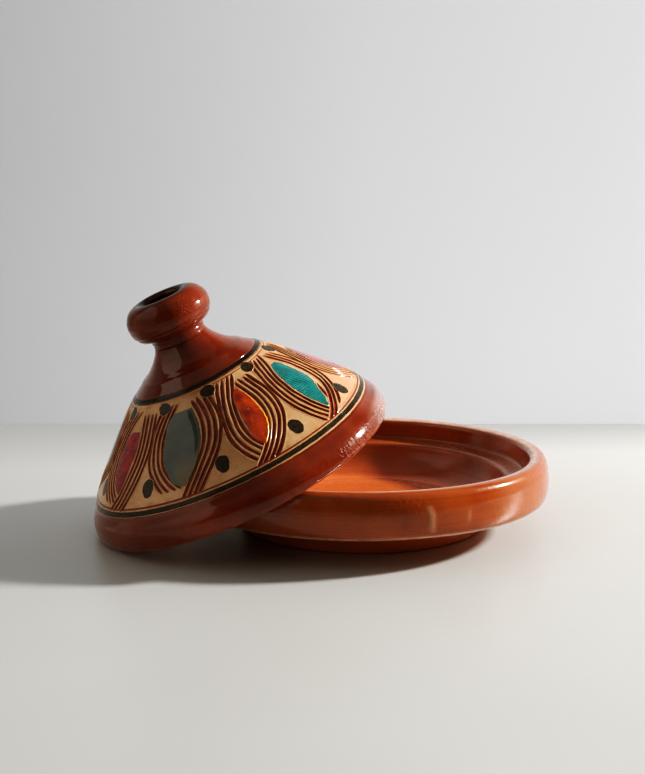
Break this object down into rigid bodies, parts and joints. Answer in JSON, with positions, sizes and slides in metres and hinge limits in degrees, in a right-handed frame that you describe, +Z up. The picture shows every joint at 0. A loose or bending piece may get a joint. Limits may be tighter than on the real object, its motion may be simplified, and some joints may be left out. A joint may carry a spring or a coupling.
{
  "type": "tagine pot",
  "caption": "Round footed earthenware dish with a gallery rim, and a conical lid with a cup knob and a carved, slip-decorated band, leaning open against the dish.",
  "frame": {"origin": "centre of the dish's flat foot ring, on the table", "axes": "+Z up along the dish's own axis; the lid leans open toward -X and a little toward -Y, and its lowest rim point is on the table"},
  "size_m": [0.3374, 0.282, 0.184],
  "materials": {
    "dish_glaze": "clear gloss glaze over terracotta clay",
    "lid_glaze": "clear gloss glaze over deep red-brown clay",
    "cream_slip": "cream slip under a thin satin glaze",
    "black_line": "brushed black oxide under thin glaze",
    "teal_enamel": "domed gloss enamel",
    "red_enamel": "domed gloss enamel",
    "green_enamel": "domed gloss enamel",
    "orange_enamel": "domed gloss enamel"
  },
  "bodies": {
    "dish": {"base_dish": "dish_glaze"},
    "lid": {"lid_shell": "lid_glaze", "lid_knob": "lid_glaze", "slip_band": "cream_slip", "lower_black_line": "black_line", "upper_black_line": "black_line", "enamel_teal": "teal_enamel", "enamel_red": "red_enamel", "enamel_green": "green_enamel", "enamel_orange": "orange_enamel", "black_dots": "black_line"}
  },
  "joints": [
    {"name": "lid_lift", "type": "slide", "parent": "dish", "child": "lid", "axis": [0, 0, 1], "range_m": [0, 0.16]}
  ]
}
